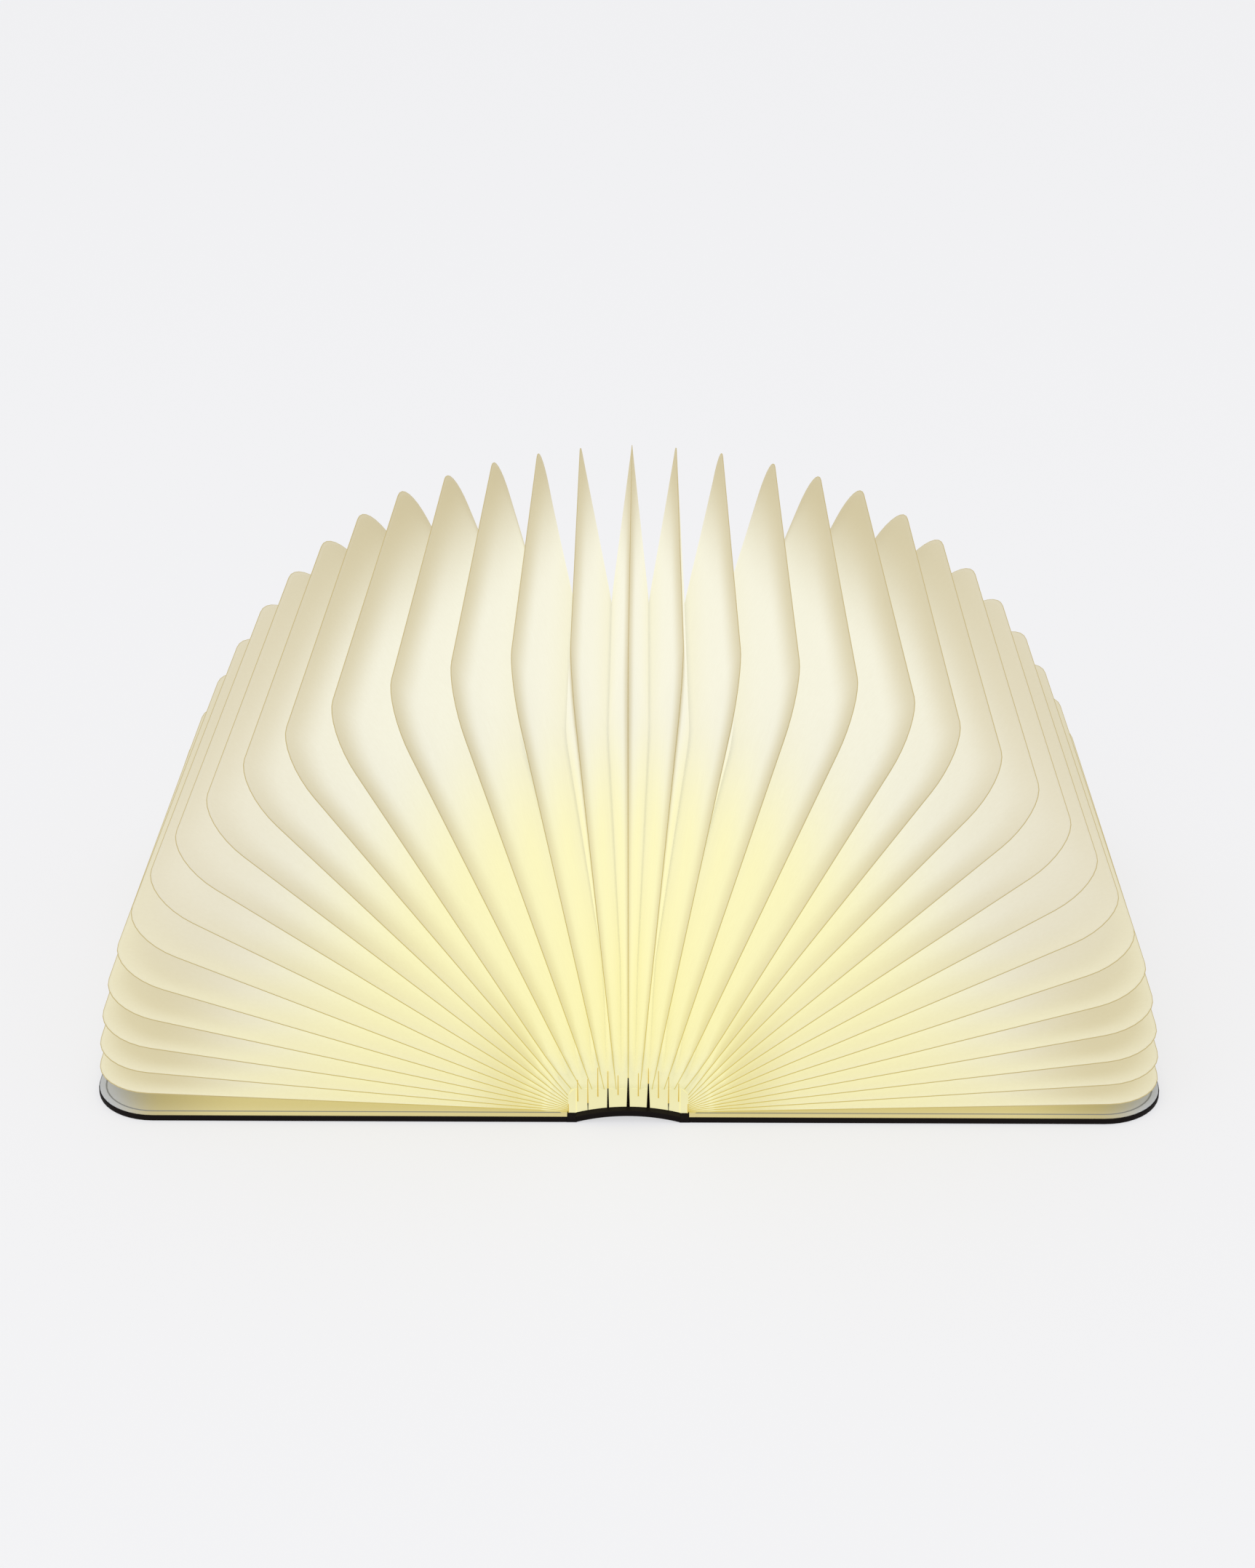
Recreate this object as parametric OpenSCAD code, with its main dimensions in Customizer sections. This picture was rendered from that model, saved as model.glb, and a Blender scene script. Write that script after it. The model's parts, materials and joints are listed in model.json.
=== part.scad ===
// Folding book lamp: a hardcover book whose text block is a pleated paper lantern.
// The lamp stands open on a table. X runs across the open book, Y along the spine, Z is up,
// and the origin is on the table under the middle of the spine. All lengths are in millimetres.

/* [Covers] */
// Length of the covers along the spine
book_l = 218; // [180:1:260]
// Width of one cover from its hinge edge to its fore-edge
cover_w = 166.6; // [150:0.1:200]
// Whole thickness of a wrapped cover
cover_t = 2.2; // [1.8:0.1:3.5]
// Radius of the two fore-edge corners of a cover
cover_corner_r = 22; // [5:1:30]
// Thickness of the leatherette wrap
wrap_t = 0.35; // [0.2:0.05:0.6]
// Width of the wrap's border turned in over the inside of a cover
turn_in = 9; // [6:1:14]
// Thickness of the endpaper glued inside a cover
endpaper_t = 0.25; // [0.15:0.05:0.5]
// Border of cover left bare around the endpaper
endpaper_margin = 0.8; // [0.4:0.1:5]

/* [Spine] */
// Width of the spine board
spine_w = 36.4; // [32:0.1:44]
// Rise of the spine's arch over its two edges
spine_rise = 2.6; // [1.5:0.1:4]
// Thickness of the wrapped spine board
spine_t = 2.2; // [1.6:0.1:3]
// Thickness of the paper liner glued on the spine board
liner_t = 0.25; // [0.15:0.05:0.5]
// Clear width between the spine board's edge and the hinge line
hinge_offset = 1.8; // [1.4:0.1:3]
// Clear width between the hinge line and the cover's edge
hinge_room = 0.9; // [0.8:0.1:1.5]
// Radius of the cloth fold that a cover hinges on
hinge_fold_r = 0.5; // [0.3:0.05:0.6]
// Thickness of the hinge cloth
hinge_cloth_t = 0.4; // [0.3:0.05:0.6]

/* [Pages] */
// Width of a page from its foot in the spine to its fore-edge
page_w = 166.3; // [140:0.1:190]
// Extra width of the middle page, shared out over the folds next to it
crown_extra = 2; // [0:0.1:3]
// Number of folds on each side over which the extra width dies out
crown_folds = 4; // [1:1:5]
// Length of a page along the spine
page_l = 213; // [170:1:250]
// Radius of the two fore-edge corners of a page
page_corner_r = 19.3; // [8:0.1:30]
// Depth of a pleat, from its ridge fold in to its valley fold
pleat_depth = 48; // [30:1:52]
// Corner radius of the valley fold
valley_corner_r = 6; // [3:0.5:10]
// Thickness of the page paper
paper_t = 0.22; // [0.15:0.01:0.35]
// Clear gap between two neighbouring pleats at their valley folds
pleat_gap = 0.16; // [0.1:0.02:0.3]
// Number of ridge folds left of the upright middle one
pages_left = 16; // [8:1:16]
// Number of ridge folds right of the upright middle one
pages_right = 17; // [8:1:17]
// Angle from upright of the last ridge fold on the left, in degrees
last_left = 87.3; // [84:0.1:88.5]
// Angle from upright of the last ridge fold on the right, in degrees
last_right = 88.5; // [84:0.1:88.8]
// How much wider the gaps are halfway down the fan than at its ends
fan_swell = 0.19; // [0:0.01:0.4]
// How much the wide gaps of the fan lie towards the covers
fan_skew = -0.283; // [-0.35:0.01:0.2]
// How far a pleat's wall hollows in, as a share of its straight line
wall_hollow = 0.14; // [0:0.01:0.3]

/* [Gutter] */
// Spacing of the page folds where they stand in the gutter
fold_pitch = 3.5; // [2.8:0.1:3.6]
// Number of folds that stand in the gutter on each side of the middle one
gutter_folds = 5; // [4:1:5]
// Height of the gutter blocks over the crown of the liner
gutter_h = 7; // [5:0.5:9]
// Width of the slits between gutter blocks
slit_w = 0.4; // [0.2:0.05:0.8]
// Height over the liner's crown at which the short slits start
short_slit_h = 4.2; // [2:0.1:5]

/* [Light core] */
// Width of the light core
core_w = 30; // [24:0.5:34]
// Height of the core's tray over the crown of the liner
core_h = 15; // [12:0.5:20]
// Wall thickness of the tray
core_wall = 1.6; // [1.2:0.1:2.4]
// Height of the diffuser's arch over the tray
diffuser_rise = 9; // [6:0.5:12]
// Wall thickness of the diffuser
diffuser_t = 1.4; // [1:0.1:2]
// Thickness of the core's end caps
cap_t = 1.8; // [1.2:0.1:3]
// Thickness of the LED board and of the charge board
board_t = 1.2; // [0.8:0.1:1.6]
// Number of LEDs in each of the two rows
led_count = 9; // [5:1:12]
// Side length of an LED chip
led_side = 2.8; // [2:0.1:3.5]
// Height of an LED chip
led_t = 0.8; // [0.5:0.1:1.2]
// Battery width
battery_w = 24; // [18:0.5:25]
// Battery thickness
battery_t = 8; // [5:0.5:8.5]
// Length of charging lead under the charge board
lead_under = 4; // [2:0.5:8]
// Room for the leads between the battery and the charge board
lead_room = 18.35; // [10:0.05:24]
// Charge board length
charge_board_l = 30; // [24:1:34]
// Charge board width
charge_board_w = 20; // [14:0.5:22]
// Shank radius of the end cap screws
screw_r = 1; // [0.8:0.1:1.2]
// Shank length of the end cap screws
screw_l = 8; // [6:0.5:10]
// Head radius of the end cap screws
screw_head_r = 1.9; // [1.6:0.1:2.2]
// Head height of the end cap screws
screw_head_h = 1.1; // [0.8:0.1:1.4]

/* [Charging inlet] */
// Width of the charging socket's shell
socket_w = 7.5; // [7:0.1:9]
// Height of the charging socket's shell
socket_h = 2.8; // [2.4:0.1:3.2]
// Depth of the charging socket
socket_l = 6; // [5:0.1:8]
// Wall thickness of the charging socket's shell
socket_wall = 0.3; // [0.2:0.05:0.4]
// Radius of the lead from the socket to the core
lead_r = 0.8; // [0.6:0.05:1]

/* [Magnets] */
// Radius of a cover magnet
magnet_r = 4; // [3:0.5:6]
// Thickness of a cover magnet
magnet_t = 1; // [0.8:0.1:1.2]
// Distance of the closing magnets from the fore-edge
magnet_inset = 14; // [12:1:30]
// Distance of the closing magnets from the middle of the cover
magnet_y = 62; // [30:1:80]
// Distance of the switch magnet from the cover's hinge edge
switch_magnet_x = 14; // [14:1:20]

/* [Clearances] */
// Clear gap between pieces that are laid in or slid in
fit_gap = 0.15; // [0.1:0.05:0.3]
// Clear gap over a soft neighbour
soft_gap = 0.3; // [0.2:0.05:0.5]
// Glue line under what is stuck on the spine's liner
glue_gap = 0.05; // [0.03:0.01:0.1]
// Clear gap between the ends of the light core and the folded paper
core_gap = 0.1; // [0.1:0.05:1]

/* [Hidden] */
$fn = 64;
LEFT = -1;
RIGHT = 1;

// Hinge lines, level with the middle of the covers' thickness
hinge_x = spine_w / 2 + hinge_offset;
hinge_z = cover_t / 2;

// Cover places
cover_x0 = hinge_x + hinge_room;
cover_x1 = cover_x0 + cover_w;
endpaper_top = cover_t + endpaper_t;

// Arch of the spine, by its radii about one centre line
arch_r = (pow(spine_w / 2, 2) + pow(spine_rise, 2)) / (2 * spine_rise);
arch_z = spine_rise - arch_r;
board_r0 = arch_r + wrap_t;
board_r1 = arch_r + spine_t;
liner_r = board_r1 + liner_t;
seat_r = liner_r + glue_gap;
crown_z = arch_z + liner_r;

// Light core lengths, between the valleys of the folded paper at its two ends
core_l = page_l - 2 * (pleat_depth + cap_t + screw_head_h + core_gap);
core_y = core_l / 2;
battery_l = core_l - 2 * core_wall - charge_board_l - lead_room - 3 * fit_gap;

// Gutter
block_w = 2 * fold_pitch;
gutter_top = crown_z + gutter_h;
foot_z = crown_z + slit_w;
gutter_y0 = core_y + cap_t + screw_head_h + soft_gap;
gutter_y1 = page_l / 2;

// Light core heights
tray_top = crown_z + core_h;
led_z = tray_top + board_t;
battery_y = -core_y + core_wall + battery_l / 2 + fit_gap;
battery_z = crown_z + core_wall;
charge_y = core_y - core_wall - charge_board_l / 2 - fit_gap;
charge_z = battery_z + 2;
lead_y0 = charge_y + charge_board_l / 2 - lead_under;
boss_r = screw_r + 1.2;
boss_x = core_w / 2 - core_wall - boss_r + 0.6;
boss_z = tray_top - boss_r - 0.4;
diffuser_w = core_w - 2 * core_wall;
diffuser_r = (pow(diffuser_w / 2, 2) + pow(diffuser_rise, 2)) / (2 * diffuser_rise);
diffuser_z = led_z + diffuser_rise - diffuser_r;

// Charging inlet
socket_z = crown_z + soft_gap + socket_h / 2;
socket_y0 = gutter_y1 - socket_l;

// Fan of pages
cover_angle = 90;
last_foot_x = hinge_x + soft_gap;
last_foot_z = endpaper_top + soft_gap;
fan_start = 5;
corner_steps = 3;
wall_mid = 0.45;
wall_share = 0.35;

cover_color = [0.10, 0.08, 0.08];
paper_color = [0.97, 0.94, 0.80];
liner_color = [0.93, 0.93, 0.94];
gutter_color = [0.98, 0.95, 0.76];
opal_color = [1.0, 0.97, 0.82];
tray_color = [0.92, 0.92, 0.90];
circuit_color = [0.10, 0.36, 0.22];
metal_color = [0.75, 0.76, 0.78];
cell_color = [0.70, 0.73, 0.78];
board_color = [0.62, 0.60, 0.55];

function page_name(side, i) = str(side, i < 10 ? "0" : "", i);

// ---- Covers ---------------------------------------------------------------------------------

// Outline of a cover, drawn in from its edge by inset: square at the hinge, round at the fore-edge.
module cover_outline(inset) {
    r = cover_corner_r - inset;
    half = book_l / 2 - inset;
    x0 = cover_x0 + inset;
    x1 = cover_x1 - inset;
    translate([x0, -half]) square([x1 - r - x0, 2 * half]);
    translate([x0, -half + r]) square([x1 - x0, 2 * (half - r)]);
    for (end = [-1, 1])
        translate([x1 - r, end * (half - r)]) circle(r);
}

module cover_slab(inset, z0, z1) {
    translate([0, 0, z0]) linear_extrude(z1 - z0) cover_outline(inset);
}

// Places of the magnets in a cover: two that hold the book shut, and one that works the switch.
function closing_places() = [for (end = [-1, 1]) [cover_x1 - magnet_inset, end * magnet_y]];
function switch_places() = [[cover_x0 + switch_magnet_x, 0]];

module magnet_discs(places, gap) {
    for (p = places)
        translate([p[0], p[1], cover_t - magnet_t - gap]) cylinder(r = magnet_r + gap, h = magnet_t + gap);
}

module cover_board(places) {
    color(board_color) difference() {
        union() {
            cover_slab(wrap_t, wrap_t, cover_t - wrap_t);
            cover_slab(turn_in, cover_t - wrap_t, cover_t);
        }
        for (p = places)
            translate([p[0], p[1], cover_t - magnet_t]) cylinder(r = magnet_r + fit_gap, h = magnet_t + 1);
    }
}

module cover_wrap() {
    color(cover_color) difference() {
        cover_slab(0, 0, cover_t);
        cover_slab(wrap_t, wrap_t, cover_t - wrap_t);
        cover_slab(turn_in, cover_t - wrap_t, cover_t + 1);
    }
}

module endpaper() {
    color(liner_color) cover_slab(endpaper_margin, cover_t, endpaper_top);
}

module cover_magnets(places) {
    color(metal_color) magnet_discs(places, 0);
}

// ---- Spine ----------------------------------------------------------------------------------

// One arched layer of the spine, between two radii about the arch's centre line.
module arch_layer(r0, r1) {
    rotate([90, 0, 0]) linear_extrude(book_l, center = true) intersection() {
        translate([0, arch_z]) difference() {
            circle(r1, $fn = 256);
            circle(r0, $fn = 256);
        }
        translate([-spine_w / 2, -spine_t]) square([spine_w, 4 * spine_t + spine_rise]);
    }
}

module spine_wrap() {
    color(cover_color) arch_layer(arch_r, board_r0);
}

module spine_board() {
    color(board_color) arch_layer(board_r0, board_r1);
}

module spine_liner() {
    color(liner_color) arch_layer(board_r1, liner_r);
}

// The cloth of each joint: a round fold on the hinge line and the strip that ties it to the spine.
module hinge_cloths() {
    color(cover_color) for (side = [LEFT, RIGHT])
        translate([side * hinge_x, book_l / 2, hinge_z]) rotate([90, 0, 0]) linear_extrude(book_l) {
            circle(hinge_fold_r);
            translate([side < 0 ? 0 : -hinge_offset, -hinge_cloth_t / 2]) square([hinge_offset, hinge_cloth_t]);
        }
}

// ---- Gutter ---------------------------------------------------------------------------------

// Blocks of folded paper that the inner folds stand in: a long slit between two blocks, and a
// short slit in the middle of each. Their feet follow the spine's arch.
module gutter_profile() {
    intersection() {
        difference() {
            translate([-gutter_folds * fold_pitch - fold_pitch, 0])
                square([2 * (gutter_folds + 1) * fold_pitch, gutter_top]);
            translate([0, arch_z]) circle(seat_r, $fn = 256);
            for (k = [-1:1])
                translate([k * block_w - slit_w / 2, 0]) square([slit_w, gutter_top + 1]);
            for (end = [-1, 1]) {
                translate([end * 2 * block_w - slit_w / 2, 0]) square([slit_w, gutter_top + 1]);
                for (k = [0.5, 1.5])
                    translate([end * k * block_w - slit_w / 2, crown_z + short_slit_h])
                        square([slit_w, gutter_h]);
            }
        }
        translate([-spine_w / 2, 0]) square([spine_w, 2 * gutter_top]);
    }
}

module gutter_run(y0, y1) {
    translate([0, y1, 0]) rotate([90, 0, 0]) linear_extrude(y1 - y0) gutter_profile();
}

module near_gutter_blocks() {
    color(gutter_color) gutter_run(-gutter_y1, -gutter_y0);
}

// The far blocks are cut out for the charging socket and for its lead.
module far_gutter_blocks() {
    color(gutter_color) difference() {
        gutter_run(gutter_y0, gutter_y1);
        translate([-socket_w / 2 - fit_gap, socket_y0 - fit_gap, crown_z - 1])
            cube([socket_w + 2 * fit_gap, socket_l + 1, 1 + soft_gap + socket_h + fit_gap]);
        translate([-lead_r - fit_gap, gutter_y0 - 1, crown_z - 1])
            cube([2 * (lead_r + fit_gap), gutter_y1 - gutter_y0, socket_z + lead_r + fit_gap - crown_z + 1]);
    }
}

// ---- Charging inlet -------------------------------------------------------------------------

module charge_socket() {
    color(metal_color) translate([0, socket_y0, socket_z]) {
        difference() {
            translate([-socket_w / 2, 0, -socket_h / 2]) cube([socket_w, socket_l, socket_h]);
            translate([-socket_w / 2 + socket_wall, 2 * socket_wall, -socket_h / 2 + socket_wall])
                cube([socket_w - 2 * socket_wall, socket_l, socket_h - 2 * socket_wall]);
        }
        translate([-socket_w / 4, 2 * socket_wall, -socket_wall])
            cube([socket_w / 2, socket_l * 0.7, 2 * socket_wall]);
    }
}

// Two-core lead from the socket, through the far end cap, to the charge board.
module charge_lead() {
    color("white") translate([0, socket_y0, socket_z]) rotate([90, 0, 0])
        cylinder(r = lead_r, h = socket_y0 - lead_y0);
}

// ---- Light core -----------------------------------------------------------------------------

module tray_blank(x, y) {
    translate([-x, -y, arch_z + arch_r]) cube([2 * x, 2 * y, tray_top - arch_z - arch_r]);
}

module arch_cut() {
    translate([0, core_l, arch_z]) rotate([90, 0, 0]) cylinder(r = seat_r, h = 2 * core_l, $fn = 256);
}

function screw_places() = [for (sx = [-1, 1]) [sx * boss_x, boss_z]];

module core_tray() {
    color(tray_color) difference() {
        union() {
            difference() {
                tray_blank(core_w / 2, core_y);
                translate([-core_w / 2 + core_wall, -core_y + core_wall, battery_z])
                    cube([core_w - 2 * core_wall, core_l - 2 * core_wall, core_h]);
            }
            for (p = screw_places(), end = [-1, 1])
                translate([p[0] - boss_r, end > 0 ? core_y - screw_l - core_wall : -core_y + core_wall / 2, p[1] - boss_r])
                    cube([2 * boss_r, screw_l + core_wall / 2, tray_top - p[1] + boss_r]);
        }
        arch_cut();
        for (p = screw_places(), end = [-1, 1])
            translate([p[0], end * (core_y + 1), p[1]]) rotate([end * 90, 0, 0]) cylinder(r = screw_r, h = screw_l + 1);
        translate([0, core_y + 1, socket_z]) rotate([90, 0, 0])
            cylinder(r = lead_r + fit_gap, h = core_y + 1 - lead_y0 + fit_gap);
    }
}

// Section through the whole core: the tray's block with the diffuser's arch on top.
module core_section() {
    translate([-core_w / 2, arch_z + arch_r]) square([core_w, led_z - arch_z - arch_r]);
    intersection() {
        translate([0, diffuser_z]) circle(diffuser_r, $fn = 128);
        translate([-diffuser_w / 2, led_z - 1]) square([diffuser_w, diffuser_rise + 2]);
    }
}

module core_end_caps() {
    color(tray_color) for (end = [-1, 1]) difference() {
        translate([0, end > 0 ? core_y + cap_t : -core_y, 0]) rotate([90, 0, 0]) linear_extrude(cap_t) core_section();
        arch_cut();
        for (p = screw_places())
            translate([p[0], end * (core_y - 1), p[1]]) rotate([-end * 90, 0, 0])
                cylinder(r = screw_r + fit_gap, h = cap_t + 2);
        if (end > 0)
            translate([0, core_y + cap_t + 1, socket_z]) rotate([90, 0, 0])
                cylinder(r = lead_r + fit_gap, h = cap_t + 2);
    }
}

module core_screws() {
    color(metal_color) for (p = screw_places(), end = [-1, 1])
        translate([p[0], end * (core_y + cap_t), p[1]]) rotate([end * 90, 0, 0]) {
            cylinder(r = screw_r - 0.02, h = screw_l);
            translate([0, 0, -screw_head_h]) cylinder(r = screw_head_r, h = screw_head_h);
        }
}

module led_board() {
    color(circuit_color) translate([-diffuser_w / 2 - core_wall / 2, -core_y, tray_top])
        cube([diffuser_w + core_wall, core_l, board_t]);
}

module led_chips() {
    color("white") for (k = [0:led_count - 1], side = [-1, 1])
        translate([side * diffuser_w / 4, (k - (led_count - 1) / 2) * core_l / (led_count + 0.5), led_z + led_t / 2])
            cube([led_side, led_side, led_t], center = true);
}

module diffuser() {
    color(opal_color) translate([0, core_y, 0]) rotate([90, 0, 0]) linear_extrude(core_l) intersection() {
        translate([0, diffuser_z]) difference() {
            circle(diffuser_r, $fn = 128);
            circle(diffuser_r - diffuser_t, $fn = 128);
        }
        translate([-diffuser_w / 2, led_z]) square([diffuser_w, diffuser_rise + 1]);
    }
}

module battery_cell() {
    r = battery_t / 2;
    color(cell_color) translate([0, battery_y + battery_l / 2, battery_z + r]) rotate([90, 0, 0])
        linear_extrude(battery_l) {
            translate([-battery_w / 2 + r, -r]) square([battery_w - 2 * r, 2 * r]);
            for (side = [-1, 1]) translate([side * (battery_w / 2 - r), 0]) circle(r);
        }
}

module charge_board() {
    color(circuit_color) translate([-charge_board_w / 2, charge_y - charge_board_l / 2, charge_z + 2 * lead_r])
        cube([charge_board_w, charge_board_l, board_t]);
}

module hall_switch() {
    color([0.1, 0.1, 0.1]) translate([charge_board_w / 2 - 5, charge_y, charge_z + 2 * lead_r + board_t])
        cube([3, 3, 1.2]);
}

// ---- Pages ----------------------------------------------------------------------------------

// Angle from upright of fold i of n, by a smooth rule that spreads the fan's middle.
function fan_angle(i, n, last) =
    i == 0 ? 0 : i > n ? cover_angle :
    let (u = i / n) last * (u + fan_swell * u * (1 - u) + fan_skew * u * (1 - u) * (1 - 2 * u));

// Foot of fold i of n: evenly across the gutter, then down its shoulder to the cover's hinge.
function shoulder(i, n) = (i - gutter_folds) / (n + 1 - gutter_folds);
function foot(i, n) =
    i <= gutter_folds ? [i * fold_pitch, foot_z] :
    let (t = shoulder(i, n), x5 = gutter_folds * fold_pitch)
        [x5 + t * (last_foot_x - x5), foot_z + t * (last_foot_z - foot_z)];

// A point on the plane of fold i, u from its foot, in the X-Z plane.
function on_page(i, n, last, u) =
    let (a = fan_angle(i, n, last)) foot(i, n) + u * [sin(a), cos(a)];

// Distance from a fold's foot at which its pleat starts, clear of the gutter and of its neighbours.
function start_u(i, n, last) =
    let (a = fan_angle(i, n, last), f = foot(i, n))
        i <= gutter_folds ? (gutter_top + soft_gap - foot_z) / cos(a)
                          : max(fan_start, (spine_w / 2 + fold_pitch - f[0]) / sin(a));

// Width of page i from its foot to its fore-edge.
function width_of(i) = page_w + crown_extra * max(0, 1 - i / crown_folds);

// Half an outline of a page in its own plane, as [distance from foot, distance along spine]:
// from the spine along the end, round the corner and up to the fore-edge.
function half_outline(u0, width, inset, r) =
    let (u1 = width - inset, v1 = page_l / 2 - inset)
        concat([[u0, v1]],
               [for (k = [0:corner_steps]) let (a = 90 * k / corner_steps)
                   [u1 - r + r * sin(a), v1 - r + r * cos(a)]]);

function mirrored(points) = [for (k = [len(points) - 1:-1:0]) [points[k][0], -points[k][1]]];
function outline(u0, width, inset, r) =
    let (half = half_outline(u0, width, inset, r)) concat(half, mirrored(half));

// Place in space of a point of fold i's plane, moved by share towards fold j's plane.
function placed(side, n, last, i, j, p, share) =
    let (a = on_page(i, n, last, p[0]), b = on_page(j, n, last, p[0]), q = a + share * (b - a))
        [side * q[0], p[1], q[1]];

function apart(n, last, i, j, u) = norm(on_page(j, n, last, u) - on_page(i, n, last, u));

// Share of the way to the neighbour at which a pleat's valley fold lies. The last pleat comes
// down all the way to the endpaper.
function valley_share(n, last, i, j, u) =
    let (way = apart(n, last, i, j, u)) j > n ? 1 - pleat_gap / way : 0.5 - pleat_gap / 2 / way;

// Share taken up by the wall, no more than part of the half gap.
function wall_of(n, last, i, j, u) =
    let (way = apart(n, last, i, j, u), v = valley_share(n, last, i, j, u))
        min(paper_t / way, wall_share * v);

// Points of one wall at one station, from valley fold to ridge fold, outside then inside.
function wall_points(side, n, last, i, j, ridge, valley) =
    let (mid = ridge + wall_mid * (valley - ridge),
         v = valley_share(n, last, i, j, valley[0]),
         w = wall_of(n, last, i, j, valley[0]),
         m = wall_mid * (1 - wall_hollow) * v)
        [placed(side, n, last, i, j, valley, v), placed(side, n, last, i, j, mid, m),
         placed(side, n, last, i, j, valley, v - w), placed(side, n, last, i, j, mid, m - w * 0.9)];

// A fold's ring of ten points at one station. before and after are its two neighbours, each as
// [side, count, last angle, this fold's number, the neighbour's number].
function ring(before, after, ridge, valley) =
    let (b = wall_points(before[0], before[1], before[2], before[3], before[4], ridge, valley),
         a = wall_points(after[0], after[1], after[2], after[3], after[4], ridge, valley),
         v = valley_share(after[1], after[2], after[3], after[4], valley[0]),
         w = wall_of(after[1], after[2], after[3], after[4], valley[0]),
         deep = ridge + min(0.4, 1.15 * w / v) * (valley - ridge),
         top = placed(after[0], after[1], after[2], after[3], after[4], ridge, 0),
         under = placed(after[0], after[1], after[2], after[3], after[4], deep, 0))
        [b[0], b[1], top, a[1], a[0], a[2], a[3], under, b[3], b[2]];

RING = 10;
RING_INSIDE = 5;

// The faces inside the V are split along the same diagonals as those outside it, so that the
// wall keeps its thickness where it twists.
// One pleat: a thin V of paper that runs down the near end, round the fore-edge and back along
// the far end, from its ridge fold in to its two valley folds.
module pleat(before, after) {
    u0 = start_u(after[3], after[1], after[2]);
    width = width_of(after[3]);
    ridges = outline(u0, width, 0, page_corner_r);
    valleys = outline(u0, width, pleat_depth, valley_corner_r);
    count = len(ridges);
    points = [for (k = [0:count - 1]) each ring(before, after, ridges[k], valleys[k])];
    sides = [for (k = [0:count - 2], m = [0:RING - 1])
        let (m2 = (m + 1) % RING, a = k * RING + m, b = k * RING + m2)
            each m < RING_INSIDE ? [[a, b, b + RING], [a, b + RING, a + RING]]
                                 : [[a, b, a + RING], [b, b + RING, a + RING]]];
    caps = [for (k = [0, count - 1]) let (o = k * RING)
        for (q = [[0, 1, 8, 9], [1, 2, 7, 8], [2, 3, 6, 7], [3, 4, 5, 6]])
            each k == 0 ? [[o + q[0], o + q[2], o + q[1]], [o + q[0], o + q[3], o + q[2]]]
                        : [[o + q[0], o + q[1], o + q[2]], [o + q[0], o + q[2], o + q[3]]]];
    polyhedron(points, concat(sides, caps));
}

// A pleat of the right half of the fan, which is mirrored for the left half.
module side_page(n, last, i) {
    color(paper_color) pleat([RIGHT, n, last, i, i - 1], [RIGHT, n, last, i, i + 1]);
}

module page_centre() {
    color(paper_color) pleat([LEFT, pages_left, last_left, 0, 1], [RIGHT, pages_right, last_right, 0, 1]);
}

// ---- Selection ------------------------------------------------------------------------------

spine_board();
spine_wrap();
spine_liner();
hinge_cloths();
near_gutter_blocks();
far_gutter_blocks();
core_tray();
core_end_caps();
core_screws();
led_board();
led_chips();
diffuser();
battery_cell();
charge_board();
hall_switch();
charge_socket();
charge_lead();
mirror([1, 0, 0]) cover_board(closing_places());  // left_cover_board
mirror([1, 0, 0]) cover_wrap();  // left_cover_wrap
mirror([1, 0, 0]) endpaper();  // left_endpaper
mirror([1, 0, 0]) cover_magnets(closing_places());  // left_cover_magnets
cover_board(concat(closing_places(), switch_places()));  // right_cover_board
cover_wrap();  // right_cover_wrap
endpaper();  // right_endpaper
cover_magnets(concat(closing_places(), switch_places()));  // right_cover_magnets
page_centre();
for (i = [1:pages_left])
    mirror([1, 0, 0]) side_page(pages_left, last_left, i);
for (i = [1:pages_right])
    side_page(pages_right, last_right, i);
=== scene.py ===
import json
import math

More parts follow.
